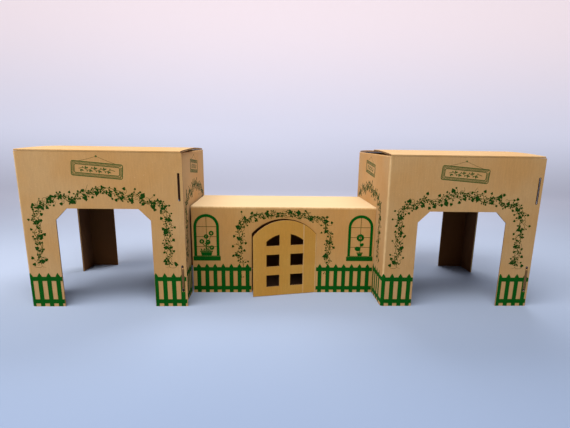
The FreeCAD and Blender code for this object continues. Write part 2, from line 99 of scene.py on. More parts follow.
# The ivy: its feet and its highest point, and the hall's own line
IVY_STEP = 2.2
IVY_FOOT = 116.0
IVY_TOP = 307.0
FRONT_IVY = (36.0, 363.0)
SIDE_IVY = (69.0, 368.0)
STEMS = ((0.0, 1.0, 62.0), (2.4, -0.9, 47.0), (4.3, 0.6, 83.0))
HALL_IVY = [
    (136.0, 38.0), (139.0, 92.0), (134.0, 130.0), (137.0, 165.0), (139.0, 195.0), (146.0, 214.0),
    (168.0, 221.0), (192.0, 229.0), (222.0, 231.0), (262.0, 232.5), (300.0, 230.0), (322.0, 230.0),
    (344.0, 222.0), (365.0, 216.0), (379.0, 212.0), (388.0, 190.0), (391.0, 158.0), (391.0, 130.0),
    (388.0, 92.0), (391.0, 38.0),
]

# The signs, and the hall's windows
SIGN_LEVEL = 358.0
SIGN_TILT = math.radians(-4.6)
FRONT_SIGN = 198.0
SIDE_SIGN = 218.0
NAIL_LEVEL = 391.0
WINDOW_END = 41.0

# A plate of ink starts inside the board, and has one of its slot's two inks
PLATE_FOOT = -0.02
PLATE_RISE = 0.12
SOLID_INK, LINE_INK = 0, 1

# The board's display colours, and the painted shade that darkens its inner side, milder on the parts that open
KRAFT = (186, 145, 92)
HALL_KRAFT = (188, 143, 83)
DOOR_KRAFT = (190, 140, 60)
SHADED_LINER = (0.28, 0.185, 0.12)
OPENED_LINER_SHADE = (0.86, 0.80, 0.74)


# Node trees

class Tree:
    """Short-hand for building one material's nodes."""

    def __init__(self, name):
        self.material = bpy.data.materials.new(name)
        self.material.use_nodes = True
        self.tree = self.material.node_tree
        self.shader = self.tree.nodes["Principled BSDF"]
        place = self.add("ShaderNodeTexCoord")
        self.point = place.outputs["Object"]
        self.normal = place.outputs["Normal"]

    def add(self, kind, **settings):
        node = self.tree.nodes.new(kind)
        for key, value in settings.items():
            setattr(node, key, value)
        return node

    def put(self, socket, value):
        if isinstance(value, bpy.types.NodeSocket):
            self.tree.links.new(value, socket)
        else:
            socket.default_value = value

    def math(self, operation, *values, clamp=False):
        node = self.add("ShaderNodeMath", operation=operation, use_clamp=clamp)
        for socket, value in zip(node.inputs, values):
            self.put(socket, value)
        return node.outputs[0]

    def split(self, vector):
        node = self.add("ShaderNodeSeparateXYZ")
        self.put(node.inputs[0], vector)
        return node.outputs[0], node.outputs[1], node.outputs[2]

    def join(self, x, y, z):
        node = self.add("ShaderNodeCombineXYZ")
        for socket, value in zip(node.inputs, (x, y, z)):
            self.put(socket, value)
        return node.outputs[0]

    def scaled(self, vector, scale):
        node = self.add("ShaderNodeVectorMath", operation="MULTIPLY")
        self.put(node.inputs[0], vector)
        self.put(node.inputs[1], scale)
        return node.outputs[0]

    def noise(self, vector, scale, detail=3.0, roughness=0.55):
        node = self.add("ShaderNodeTexNoise")
        self.put(node.inputs["Vector"], vector)
        self.put(node.inputs["Scale"], scale)
        self.put(node.inputs["Detail"], detail)
        self.put(node.inputs["Roughness"], roughness)
        return node.outputs["Fac"]

    def step(self, value, low, high, start=0.0, end=1.0):
        node = self.add("ShaderNodeMapRange", interpolation_type="SMOOTHSTEP")
        self.put(node.inputs["Value"], value)
        self.put(node.inputs["From Min"], low)
        self.put(node.inputs["From Max"], high)
        self.put(node.inputs["To Min"], start)
        self.put(node.inputs["To Max"], end)
        return node.outputs["Result"]

    def mix(self, factor, first, second, blend="MIX"):
        node = self.add("ShaderNodeMix", data_type="RGBA", blend_type=blend)
        self.put(node.inputs["Factor"], factor)
        self.put(node.inputs["A"], first)
        self.put(node.inputs["B"], second)
        return node.outputs["Result"]

    def plus(self, first, second):
        return self.math("ADD", first, second)

    def minus(self, first, second):
        return self.math("SUBTRACT", first, second)

    def times(self, first, second):
        return self.math("MULTIPLY", first, second)

    def least(self, first, second):
        return self.math("MINIMUM", first, second)

    def most(self, first, second):
        return self.math("MAXIMUM", first, second)

    def absolute(self, value):
        return self.math("ABSOLUTE", value)

    def all_of(self, *masks):
        result = masks[0]
        for mask in masks[1:]:
            result = self.times(result, mask)
        return result

    def below(self, value, limit):
        return self.math("LESS_THAN", value, limit)

    def above(self, value, limit):
        return self.math("GREATER_THAN", value, limit)

    def flipped(self, value):
        return self.minus(1.0, value)

    def flutes(self, across):
        """Wave that rises and falls once over each flute."""
        return self.math("SINE", self.times(across, 2.0 * math.pi / FLUTE))

    def bump(self, height, strength, distance):
        node = self.add("ShaderNodeBump")
        self.put(node.inputs["Height"], height)
        self.put(node.inputs["Strength"], strength)
        self.put(node.inputs["Distance"], distance)
        return node.outputs["Normal"]


def seen(tree):
    """Whether a ray comes from the camera or from a mirrored or clear surface."""
    rays = tree.nodes.new("ShaderNodeLightPath")
    total = rays.outputs["Is Camera Ray"]
    for name in ("Is Glossy Ray", "Is Transmission Ray"):
        node = tree.nodes.new("ShaderNodeMath")
        node.operation = "MAXIMUM"
        tree.links.new(total, node.inputs[0])
        tree.links.new(rays.outputs[name], node.inputs[1])
        total = node.outputs[0]
    return total


def linear(red, green, blue):
    """Linear colour of a 0 to 255 display colour."""
    values = []
    for value in (red, green, blue):
        part = value / 255.0
        values.append(part / 12.92 if part <= 0.04045 else ((part + 0.055) / 1.055) ** 2.4)
    return (*values, 1.0)


# Corrugated board

def board(name, layout, face=KRAFT, fade_and_top_sheen=0.03, painted_slot_shade=None, liner_shade=SHADED_LINER):
    """Kraft board: fibres, flute lines and blotches on its faces, and bare flutes on its cut edges.

    The layout gives the distance across the flutes, the depth inside the sheet, and masks for the
    sheet's cut edges, folds and inner side. Upward faces get a painted highlight towards cream, the
    inner side painted shade, and the folds a paler colour: rubbed fibres and a painted highlight.
    """
    tree = Tree(name)
    across, depth, cut, fold, inner = layout(tree)
    point = tree.point

    fibres = tree.noise(tree.scaled(point, (1.0, 1.0, 0.35)), 900.0, 5.0, 0.7)
    wisps = tree.noise(tree.scaled(point, (1.0, 1.0, 0.16)), 240.0, 4.0, 0.6)
    blotches = tree.noise(point, 7.5, 3.0, 0.5)
    patches = tree.noise(point, 26.0, 2.0, 0.5)
    flute_wave = tree.flutes(across)
    washed = tree.step(patches, 0.35, 0.7, 0.15, 1.0)
    flute_tone = tree.times(flute_wave, tree.times(washed, 0.016))

    base = linear(*face)
    warm = (base[0] * 1.05, base[1] * 0.97, base[2] * 0.86, 1.0)
    pale = (base[0] * 1.07, base[1] * 1.10, base[2] * 1.20, 1.0)
    colour = tree.mix(tree.step(blotches, 0.3, 0.7), warm, pale)
    level = tree.plus(tree.step(fibres, 0.25, 0.75, 0.93, 1.07), flute_tone)
    level = tree.times(level, tree.step(wisps, 0.3, 0.7, 0.965, 1.035))
    grain = tree.join(level, level, level)
    colour = tree.mix(1.0, colour, grain, "MULTIPLY")
    specks = tree.step(tree.noise(point, 520.0, 2.0, 0.5), 0.70, 0.76)
    colour = tree.mix(tree.times(specks, 0.30), colour, linear(96, 62, 34))
    light_specks = tree.noise(tree.scaled(point, (1.0, 1.0, 0.5)), 390.0, 2.0, 0.5)
    light_specks = tree.step(light_specks, 0.69, 0.75)
    colour = tree.mix(tree.times(light_specks, 0.22), colour, linear(232, 203, 160))
    # Folds are paler: rubbed fibres, and a painted highlight where the rounded fold catches the light
    fold_wear_and_highlight = tree.times(fold, tree.step(wisps, 0.35, 0.65, 0.25, 0.6))
    colour = tree.mix(fold_wear_and_highlight, colour, linear(224, 190, 140))

    # Painted shade: the inner side's colour is darkened, standing in for the shade inside the box
    colour = tree.mix(inner, colour, tree.mix(1.0, colour, (*liner_shade, 1.0), "MULTIPLY"))
    # Painted highlight: upward faces lighten towards cream, standing in for the light from above
    facing = tree.split(tree.normal)[2]
    colour = tree.mix(tree.step(facing, 0.5, 0.95, 0.0, fade_and_top_sheen), colour, linear(240, 222, 184))

    # Two liners with the wavy medium between them
    middle = tree.math("DIVIDE", tree.minus(depth, BOARD / 2.0), BOARD / 2.0)
    from_middle = tree.absolute(middle)
    papers = tree.step(from_middle, 0.76, 0.84)
    off_wave = tree.absolute(tree.minus(middle, tree.times(flute_wave, 0.72)))
    medium = tree.flipped(tree.step(off_wave, 0.14, 0.34))
    paper = tree.most(papers, medium)
    torn = tree.step(fibres, 0.2, 0.8, 0.82, 1.1)
    edge_paper = tree.mix(1.0, linear(200, 160, 104), tree.join(torn, torn, torn), "MULTIPLY")
    edge = tree.mix(paper, linear(112, 76, 42), edge_paper)
    colour = tree.mix(cut, colour, edge)
    # Painted shade in the slots by the seam, and on the proud tab's face
    if painted_slot_shade:
        colour = tree.mix(painted_slot_shade(tree), colour, linear(46, 24, 12))
    tree.put(tree.shader.inputs["Base Color"], colour)

    plain = tree.flipped(cut)
    relief = tree.plus(tree.times(fibres, 0.10), tree.times(flute_wave, 0.035))
    relief = tree.plus(relief, tree.times(patches, 0.5))
    hollow = tree.times(cut, tree.times(paper, 1.2))
    height = tree.plus(tree.times(plain, relief), hollow)
    tree.put(tree.shader.inputs["Normal"], tree.bump(height, 0.55, 0.0006))
    tree.put(tree.shader.inputs["Roughness"], tree.step(fibres, 0.2, 0.8, 0.72, 0.88))
    tree.shader.inputs["Specular IOR Level"].default_value = 0.14
    tree.shader.inputs["Sheen Weight"].default_value = 0.03
    tree.shader.inputs["Sheen Roughness"].default_value = 0.6
    return tree.material


def tower_layout(tower_x):
    """Where the sheet's walls lie in a tower, for its cut edges, its folds and its inner side."""
    def layout(tree):
        x, y, z = tree.split(tree.point)
        nx, ny, nz = tree.split(tree.normal)
        left = tree.minus(x, tower_x)
        right = tree.minus(tower_x + SIDE, x)
        front = tree.minus(y, FRONT_Y)
        back = tree.minus(FRONT_Y + TOWER, y)
        from_left, from_right, from_front, from_back = (
            tree.absolute(value) for value in (left, right, front, back))

        # A wall's cut edge lies within the wall and doesn't face the way that the wall does
        past_left = tree.above(left, PAST_BEND)
        past_right = tree.above(right, PAST_BEND)
        clear_ends = tree.all_of(tree.above(front, PAST_BEND), tree.above(back, PAST_BEND),
                                 tree.below(z, TOWER_FOLD))
        in_front = tree.all_of(tree.below(front, IN_SHEET), past_left)
        in_back = tree.all_of(tree.below(back, IN_SHEET), past_left, past_right)
        in_left = tree.all_of(tree.below(left, IN_SHEET), clear_ends)
        in_right = tree.all_of(tree.below(right, IN_SHEET), tree.above(right, -0.0001), clear_ends)
        along_x = tree.most(in_front, in_back)
        cut_y = tree.times(tree.below(tree.absolute(ny), 0.35), along_x)
        cut_x = tree.times(tree.below(tree.absolute(nx), 0.35), tree.most(in_left, in_right))
        cut = tree.most(cut_y, cut_x)

        along_x = tree.most(along_x, tree.above(tree.absolute(ny), 0.6))
        across = tree.plus(tree.times(along_x, x), tree.times(tree.flipped(along_x), y))
        depth_y = tree.least(from_front, from_back)
        depth_x = tree.least(from_left, from_right)
        depth = tree.plus(tree.times(cut_y, depth_y), tree.times(tree.flipped(cut_y), depth_x))
        corner = tree.least(tree.most(from_left, depth_y), tree.most(from_right, from_back))
        fold = tree.flipped(tree.step(corner, 0.0025, 0.0065))
        shell = tree.least(tree.least(left, from_right), tree.least(front, back))
        inner = tree.all_of(tree.above(shell, INNER_FACE), tree.below(left, SIDE), tree.flipped(cut),
                            tree.below(nz, 0.5))
        return across, depth, cut, fold, inner
    return layout


def slot_shade(tower_x):
    """Painted shade: dark colour on the walls inside the two slots by the seam, and on the face of the tab
    that stands proud.
    """
    def shade(tree):
        x, y, z = tree.split(tree.point)
        inside = tree.below(tree.absolute(tree.minus(x, tower_x + SLOT_X)), SLOT_HALF_W)
        behind = tree.minus(y, FRONT_Y)
        sunk = tree.times(tree.step(behind, 0.0003, 0.0012), tree.below(behind, PAST_BEND))
        proud = tree.times(tree.below(behind, -0.0003), 0.72)
        upper, lower = (tree.all_of(tree.above(z, low), tree.below(z, high)) for low, high in SLOT_LEVELS)
        return tree.all_of(inside, tree.most(sunk, proud), tree.most(upper, lower))
    return shade


def flap_layout(fold_y, inward, rise):
    """The bowed top flap: its depth is measured down from the bow."""
    def layout(tree):
        x, y, z = tree.split(tree.point)
        nz = tree.split(tree.normal)[2]
        reach = tree.times(tree.minus(y, fold_y), inward)
        left_over = tree.minus(1.0, tree.math("DIVIDE", reach, FLAP_REACH))
        bow = tree.times(tree.flipped(tree.times(left_over, left_over)), rise)
        depth = tree.minus(tree.plus(bow, TOWER), z)
        cut = tree.times(tree.below(tree.absolute(nz), 0.5), tree.above(reach, 0.0045))
        return x, depth, cut, tree.times(cut, 0.5), tree.below(nz, -0.5)
    return layout


def hall_layout(tree):
    """The hall's sheet, which is cut at its ends, along its lower edges and round its doorway."""
    x, y, z = tree.split(tree.point)
    nx, ny = tree.split(tree.normal)[:2]
    wall = tree.least(tree.minus(y, HALL_Y), tree.minus(HALL_Y + HALL_D, y))
    top = tree.minus(HALL_H, z)
    depth = tree.least(wall, top)
    end = tree.above(tree.absolute(nx), 0.8)
    low = tree.all_of(tree.below(z, HALL_FOLD), tree.below(tree.absolute(ny), 0.35))
    cut = tree.most(end, low)
    fold = tree.flipped(tree.step(tree.most(wall, top), 0.003, 0.007))
    inner = tree.all_of(tree.above(depth, INNER_FACE), tree.flipped(cut))
    return x, depth, cut, fold, inner


def door_layout(tree):
    """The door's own directions: along it from its hinge, and into its thickness."""
    turn = tree.add("ShaderNodeVectorRotate", rotation_type="Z_AXIS")
    tree.put(turn.inputs["Vector"], tree.point)
    turn.inputs["Center"].default_value = (HALL_X + HINGE, HALL_Y, 0.0)
    turn.inputs["Angle"].default_value = -DOOR_AJAR
    x, y = tree.split(turn.outputs["Vector"])[:2]
    facing = tree.add("ShaderNodeVectorRotate", rotation_type="Z_AXIS")
    tree.put(facing.inputs["Vector"], tree.normal)
    facing.inputs["Angle"].default_value = -DOOR_AJAR
    ny = tree.split(facing.outputs["Vector"])[1]
    depth = tree.minus(y, HALL_Y)
    cut = tree.all_of(tree.below(tree.absolute(ny), 0.5), tree.above(depth, 0.0007))
    from_hinge = tree.minus(HALL_X + HINGE, x)
    crease = tree.absolute(tree.minus(from_hinge, DOOR_CREASE))
    crease_line = tree.flipped(tree.step(crease, 0.0008, 0.0022))
    hinge_line = tree.flipped(tree.step(from_hinge, 0.001, 0.004))
    return x, depth, cut, tree.most(crease_line, hinge_line), tree.above(ny, 0.5)


# Ink

def ink(name, colour, thin=0.14):
    """Printed ink: uneven density, with the board's fibres and flute lines showing through it."""
    tree = Tree(name)
    x, y = tree.split(tree.point)[:2]
    side = tree.above(tree.absolute(tree.split(tree.normal)[0]), 0.6)
    across = tree.plus(tree.times(side, y), tree.times(tree.flipped(side), x))
    flute_wave = tree.flutes(across)
    mottle = tree.noise(tree.point, 160.0, 4.0, 0.65)
    cloud = tree.noise(tree.point, 22.0, 2.0, 0.5)
    pits = tree.noise(tree.scaled(tree.point, (1.0, 1.0, 0.5)), 1100.0, 3.0, 0.6)
    solid = linear(*colour)
    fade_and_top_sheen = (solid[0] * 1.5 + 0.004, solid[1] * 1.28 + 0.005, solid[2] * 1.2 + 0.001, 1.0)
    shade = tree.plus(tree.step(mottle, 0.3, 0.72), tree.times(flute_wave, 0.14))
    worn = tree.mix(tree.math("MULTIPLY", shade, 0.55, clamp=True), solid, fade_and_top_sheen)
    worn = tree.mix(tree.step(cloud, 0.35, 0.7, 0.0, 0.35), worn, fade_and_top_sheen)
    bare = tree.times(tree.step(pits, 0.60, 0.70), thin)
    worn = tree.mix(bare, worn, linear(170, 130, 82))
    tree.put(tree.shader.inputs["Base Color"], worn)
    tree.put(tree.shader.inputs["Roughness"], tree.step(mottle, 0.2, 0.8, 0.55, 0.75))
    tree.put(tree.shader.inputs["Normal"], tree.bump(pits, 0.3, 0.0002))
    tree.shader.inputs["Specular IOR Level"].default_value = 0.05
    return tree.material


GREEN = ink("fence_green", (0, 76, 14), 0.1)
LEAF = ink("leaf_green", (18, 56, 8), 0.08)
STEM = ink("stem_olive", (58, 66, 20), 0.2)
SIGN = ink("sign_olive", (60, 80, 36), 0.25)
SLOT_MATERIALS = {"fence_ink": [GREEN, STEM], "ivy_ink": [LEAF, STEM], "sign_ink": [SIGN, STEM]}


# Printed shapes, laid on a wall as thin plates

def arched_wall(first, last, height, edges, top=328.0):
    """Rule for where ink may lie on a tower wall: clear of its opening, its edges and its sign."""
    def clear(u, v):
        inside = min(u - first, last - u)
        crown = height + INK_MARGIN - max(0.0, CHAMFER - inside)
        hole = inside > -INK_MARGIN and v < crown
        return edges[0] < u < edges[1] and v < top and not hole
    return clear


def doorway_wall(u, v):
    """Rule for where ivy may lie on the hall's front: clear of the doorway, and between the pickets."""
    across = abs(u - DOOR_MIDDLE)
    level, radius = DOORWAY_ARC
    hole = across < DOORWAY_HALF_W and v < level + math.sqrt(radius ** 2 - across ** 2)
    from_picket = min(abs(u - centre) for centre in HALL_PICKETS)
    fenced = v < 89.0 and (not 21.0 < v < 64.5 or from_picket < 6.3)
    return v < 248.0 and not hole and not fenced


def front_wall(x, y):
    """A flat front: how a place (u, v) on it, and a rise off it, lie in space."""
    return lambda u, v, rise: (x + u, y - rise, v)


def bent_front(x):
    """The front wall of a tower, which bends round to the left wall before its first edge."""
    def place(u, v, rise):
        bend = BEND * MM
        if u >= bend:
            return x + u, FRONT_Y - rise, v
        angle = (bend - u) / bend
        if angle > math.pi / 2.0:
            return x - rise, FRONT_Y + bend + (angle - math.pi / 2.0) * bend, v
        radius = bend + rise
        return x + bend - radius * math.sin(angle), FRONT_Y + bend - radius * math.cos(angle), v
    return place


def right_wall(x):
    """A tower's right side, with u from its front to its back."""
    return lambda u, v, rise: (x + SIDE + rise, FRONT_Y + u, v)


def left_wall(x):
    """A tower's left side, with u from its back to its front."""
    return lambda u, v, rise: (x - rise, FRONT_Y + TOWER - u, v)


class Print:
    """Plates of ink on the walls, gathered into one mesh."""

    def __init__(self):
        self.points = []
        self.faces = []
        self.kinds = []
        self.place = None
        self.clear = None

    def fits(self, outline):
        return self.clear is None or all(self.clear(u, v) for u, v in outline)

    def plate(self, outline, kind=SOLID_INK, rise=PLATE_RISE):
        """Closed plate with an outline of (u, v) millimetres, anticlockwise."""
        start = len(self.points)
        count = len(outline)
        for height in (PLATE_FOOT, rise):
            for u, v in outline:
                self.points.append(self.place(u * MM, v * MM, height * MM))
        self.faces.append([start + count + number for number in range(count)])
        self.faces.append([start + number for number in reversed(range(count))])
        for number in range(count):
            following = (number + 1) % count
            self.faces.append([start + number, start + following,
                               start + count + following, start + count + number])
        self.kinds += [kind] * (count + 2)

    def leaf(self, outline, rise):
        if self.fits(outline):
            self.plate(outline, SOLID_INK, rise)

    def bar(self, u0, u1, v0, v1, rise=PLATE_RISE):
        self.plate([(u0, v0), (u1, v0), (u1, v1), (u0, v1)], SOLID_INK, rise)

    def ribbon(self, path, width, kind, rise, taper=0.0):
        """Thin line along (u, v) points; a taper of 1 brings its end to a point."""
        start = len(self.points)
        count = len(path)
        for number, (u, v) in enumerate(path):
            before = path[max(number - 1, 0)]
            after = path[min(number + 1, count - 1)]
            run = math.hypot(after[0] - before[0], after[1] - before[1]) or 1.0
            side_u = -(after[1] - before[1]) / run
            side_v = (after[0] - before[0]) / run
            half = width / 2.0 * (1.0 - taper * 0.8 * number / max(count - 1, 1))
            for height in (PLATE_FOOT, rise):
                for side in (half, -half):
                    edge_u = (u + side_u * side) * MM
                    edge_v = (v + side_v * side) * MM
                    self.points.append(self.place(edge_u, edge_v, height * MM))
        for number in range(count - 1):
            here = start + 4 * number
            there = here + 4
            self.faces.append([here + 2, here + 3, there + 3, there + 2])
            self.faces.append([here + 0, there + 0, there + 1, here + 1])
            self.faces.append([here + 0, here + 2, there + 2, there + 0])
            self.faces.append([here + 1, there + 1, there + 3, here + 3])
        last = start + 4 * (count - 1)
        self.faces.append([start, start + 1, start + 3, start + 2])
        self.faces.append([last, last + 2, last + 3, last + 1])
        self.kinds += [kind] * (4 * (count - 1) + 2)

    def disc(self, u, v, radius, kind=SOLID_INK, rise=PLATE_RISE, sides=14):
        angles = [2.0 * math.pi * number / sides for number in range(sides)]
        outline = [(u + radius * math.cos(angle), v + radius * math.sin(angle)) for angle in angles]
        self.plate(outline, kind, rise)

    def finish(self, name, slot, nodes):
        mesh = bpy.data.meshes.new(name)
        mesh.from_pydata(self.points, [], self.faces)
        for material in SLOT_MATERIALS[slot]:
            mesh.materials.append(material)
        for polygon, kind in zip(mesh.polygons, self.kinds):
            polygon.material_index = kind
        mesh.validate()
        mesh.update()
        piece = bpy.data.objects.new(name, mesh)
        bpy.context.scene.collection.objects.link(piece)
        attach(piece, "castle")
        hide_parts(*nodes)


def smooth_path(knots, step=3.0):
    """Evenly stepped line through the given points, rounded between them."""
    line = []
    for number in range(len(knots) - 1):
        before = knots[max(number - 1, 0)]
        start = knots[number]
        end = knots[number + 1]
        after = knots[min(number + 2, len(knots) - 1)]
        count = max(int(math.dist(start, end) / step), 1)
        for part in range(count):
            t = part / count
            point = []
            for a, b, c, d in zip(before, start, end, after):
                bent = (2.0 * a - 5.0 * b + 4.0 * c - d) * t * t
                twisted = (3.0 * b - a - 3.0 * c + d) * t ** 3
                point.append(0.5 * (2.0 * b + (c - a) * t + bent + twisted))
            line.append(tuple(point))
    line.append(knots[-1])
    return line


def heading_at(line, number):
    before = line[max(number - 1, 0)]
    after = line[min(number + 1, len(line) - 1)]
    return math.atan2(after[1] - before[1], after[0] - before[0])


def turned(outline, u, v, angle, size=1.0):
    cosine = math.cos(angle) * size
    sine = math.sin(angle) * size
    return [(u + a * cosine - b * sine, v + a * sine + b * cosine) for a, b in outline]


# Outlines of leaves and of a petal, about one unit long, pointing along the first direction
IVY_LEAF = [
    (-0.04, -0.05), (-0.22, -0.20), (-0.26, -0.42), (-0.06, -0.50), (0.14, -0.60), (0.20, -0.42),
    (0.34, -0.36), (0.52, -0.30), (0.62, -0.14), (0.86, -0.06), (1.00, 0.00), (0.86, 0.07),
    (0.62, 0.16), (0.54, 0.32), (0.32, 0.38), (0.20, 0.46), (0.12, 0.62), (-0.08, 0.50),
    (-0.27, 0.40), (-0.20, 0.18), (-0.04, 0.05),
]
HEART_LEAF = [
    (0.02, 0.00), (-0.12, -0.16), (-0.10, -0.38), (0.12, -0.52), (0.40, -0.46), (0.66, -0.25),
    (0.98, 0.00), (0.66, 0.25), (0.40, 0.46), (0.12, 0.52), (-0.10, 0.38), (-0.12, 0.16),
]
BUD_LEAF = [(0.0, 0.0), (0.10, -0.30), (0.45, -0.42), (0.82, -0.26), (1.0, 0.02),
            (0.80, 0.30), (0.44, 0.40), (0.10, 0.28)]
PETAL = [(0.36, -0.15), (0.62, -0.40), (0.94, -0.36), (1.10, 0.0), (0.94, 0.36),
         (0.62, 0.40), (0.36, 0.15)]
OAR_LEAF = [(0.0, 0.0), (0.25, -0.17), (0.55, -0.22), (0.82, -0.14), (1.0, 0.0),
            (0.82, 0.14), (0.55, 0.22), (0.25, 0.17)]


def curl(u, v, heading, length, bend, steps=9):
    """Tendril that leaves at a heading and winds up towards its end."""
    line = [(u, v)]
    angle = heading
    for number in range(steps):
        angle += bend * (0.4 + 1.6 * number / steps)
        u += length / steps * math.cos(angle)
        v += length / steps * math.sin(angle)
        line.append((u, v))
    return line, angle


def ahead(point, heading, distance):
    """Point at a distance from another along a heading."""
    return point[0] + distance * math.cos(heading), point[1] + distance * math.sin(heading)


def beside(point, heading, distance):
    """Point at a distance from another, to the left of a heading."""
    return point[0] - distance * math.sin(heading), point[1] + distance * math.cos(heading)


def upright(heading):
    return abs(math.sin(heading)) > 0.8


def garland(sheet, knots, seed, width=18.0, leaf=1.0, gap=3):
    """Stems that wind about a line, closely set with small leaves, curls and a few large leaves."""
    chance = random.Random(seed)
    line = smooth_path(knots, IVY_STEP)
    count = len(line)
    layer = 0

    def grow(outline, spot, angle, size, rise):
        """A leaf at one of six close heights, so that leaves which overlap don't share a face."""
        nonlocal layer
        layer = (layer + 1) % 6
        sheet.leaf(turned(outline, *spot, angle, size * leaf), rise + 0.003 * layer)

    # Winding stems, with small leaves singly or in pairs
    for shift, swing, length in STEMS:
        stem = []
        for number in range(count):
            fade = min(1.0, number / 10.0, (count - 1 - number) / 10.0)
            turn = 2.0 * math.pi * number * IVY_STEP / length + shift
            sway = width * 0.46 * swing * fade * math.sin(turn)
            sway += 1.2 * fade * math.sin(number * 0.71 + 3.0 * shift)
            stem.append(beside(line[number], heading_at(line, number), sway))
        sheet.ribbon(stem, 1.15, LINE_INK, 0.06 + 0.006 * shift)
        number = chance.randint(1, 3)
        while number < count - 1:
            heading = heading_at(stem, number)
            side = chance.choice((-1.0, 1.0))
            for spread in chance.choice(((1.0,), (0.8, -0.9), (1.2, 0.1), (0.6, -1.3))):
                out = heading + side * spread
                tip = ahead(stem[number], out, chance.uniform(2.2, 4.8))
                if sheet.fits([tip]):
                    sheet.ribbon([stem[number], tip], 0.8, LINE_INK, 0.07)
                    outline = chance.choice((HEART_LEAF, BUD_LEAF))
                    grow(outline, tip, out + chance.uniform(-0.4, 0.4), chance.uniform(3.4, 5.4), 0.09)
            number += chance.randint(gap, gap + 3) + (2 if upright(heading) else 0)

    # Tendrils that end in a leaf, on one side and then on the other, and loops beside them
    number = 3
    side = 1.0
    while number < count - 3:
        heading = heading_at(line, number)
        spot = beside(line[number], heading, side * chance.uniform(0.1, 0.45) * width)
        start = heading + side * chance.uniform(0.5, 1.3)
        tendril, tip_angle = curl(*spot, start, chance.uniform(8.0, 17.0), side * chance.uniform(-0.16, 0.24))
        if sheet.fits(tendril):
            sheet.ribbon(tendril, 1.05, LINE_INK, 0.085, 0.5)
            size = chance.choice((5.4, 6.4, 8.2))
            grow(HEART_LEAF, tendril[-1], tip_angle + chance.uniform(-0.6, 0.6), size, 0.1)
        if chance.random() < 0.8:
            loop = curl(*spot, heading + side * 2.2, chance.uniform(14.0, 24.0), side * 0.36, 14)[0]
            if sheet.fits(loop):
                sheet.ribbon(loop, 1.0, LINE_INK, 0.078, 0.6)
        number += chance.randint(4, 7)
        side = -side

    # Large leaves, each with a small one behind it
    number = 5
    while number < count - 6:
        heading = heading_at(line, number)
        sway = chance.uniform(-0.6, 0.6) * width
        spot = beside(line[number], heading, sway)
        facing = heading + math.copysign(chance.uniform(0.6, 1.9), sway)
        size = chance.uniform(9.5, 13.5)
        grow(chance.choice((IVY_LEAF, IVY_LEAF, HEART_LEAF)), spot, facing, size, 0.116)
        turn = chance.choice((-1.6, 1.7, 2.4))
        grow(HEART_LEAF, ahead(spot, facing, -3.6), facing + turn, size * 0.55, 0.134)
        number += chance.randint(10, 17) + (3 if upright(heading) else 0)


def end_sprig(sheet, u, v, side):
    """The garland's foot: a tendril that swings outwards and ends in one leaf."""
    tendril = smooth_path([(u, v), (u - side * 1.0, v - 6.0), (u + side * 6.0, v - 9.0),
                           (u + side * 15.0, v - 8.0), (u + side * 19.0, v - 3.0)], 1.6)
    sheet.ribbon(tendril, 1.0, LINE_INK, 0.07, 0.4)
    leaf = turned(HEART_LEAF, *tendril[-1], math.pi / 2.0 + side * 0.5, 9.0)
    sheet.plate(leaf, SOLID_INK, 0.11)
    short = smooth_path([(u, v), (u - side * 3.0, v - 7.0), (u - side * 11.0, v - 8.5)], 1.6)
    sheet.ribbon(short, 0.8, LINE_INK, 0.065, 0.7)


def arch_knots(left, right):
    """Centre line of a garland: two legs and a gently waved band over the opening."""
    span = right - left
    shoulder = IVY_TOP - 62.0
    knee = IVY_FOOT + 0.5 * (shoulder - IVY_FOOT)
    knots = [(left, IVY_FOOT), (left + 1.0, knee), (left, shoulder)]
    band = ((0.028, 40.0), (0.085, 29.0), (0.165, 20.0), (0.275, 20.0), (0.35, 12.0), (0.43, 3.0), (0.52, 0.0),
            (0.61, 3.0), (0.66, 11.0), (0.72, 17.0), (0.81, 16.0), (0.90, 31.0), (0.96, 35.0))
    knots += [(left + part * span, IVY_TOP - drop) for part, drop in band]
    return knots + [(right, shoulder), (right - 1.0, knee), (right, IVY_FOOT)]


def cut_spots(start, end):
    """Places to divide a shape at, close together where the board bends."""
    bends = (-6.5, -5.0, -3.6, -2.4, -1.2, 0.0, 1.0, 2.0, 3.0, 4.0, 5.0)
    return [start] + [spot for spot in bends if start < spot < end] + [end]


def slab(sheet, u0, u1, low, high, rise):
    """Upright band between two heights; the upper one may be a rule for the height at a place."""
    if u1 - u0 < 0.3:
        return
    spots = cut_spots(u0, u1)
    for left, right in zip(spots, spots[1:]):
        tops = [high(u) if callable(high) else high for u in (right, left)]
        if min(tops) > low + 0.05:
            sheet.plate([(left, low), (right, low), (right, tops[0]), (left, tops[1])], SOLID_INK, rise)


def picket(sheet, start, end, centre, drop, slot=None):
    """One pointed picket, cut off where the fence starts or ends, or at a slot."""
    half = PICKET / 2.0
    slope = 9.5 / half

    def top(u):
        off = abs(u - centre)
        return PICKET_TIP - drop - slope * off - 0.5 * max(0.0, 1.0 - off)

    left, right = max(centre - half, start), min(centre + half, end)
    spots = [left] + [spot for spot in (centre - 1.0, centre, centre + 1.0) if left < spot < right] + [right]
    for u0, u1 in zip(spots, spots[1:]):
        parts = [(u0, u1, top)]
        if slot and u0 < slot[1] and u1 > slot[0]:
            parts = [(u0, min(u1, slot[0]), top), (max(u0, slot[1]), u1, top),
                     (max(u0, slot[0]), min(u1, slot[1]), slot[2])]
        for first, last, high in parts:
            slab(sheet, first, last, FENCE_FOOT, high, 0.13)


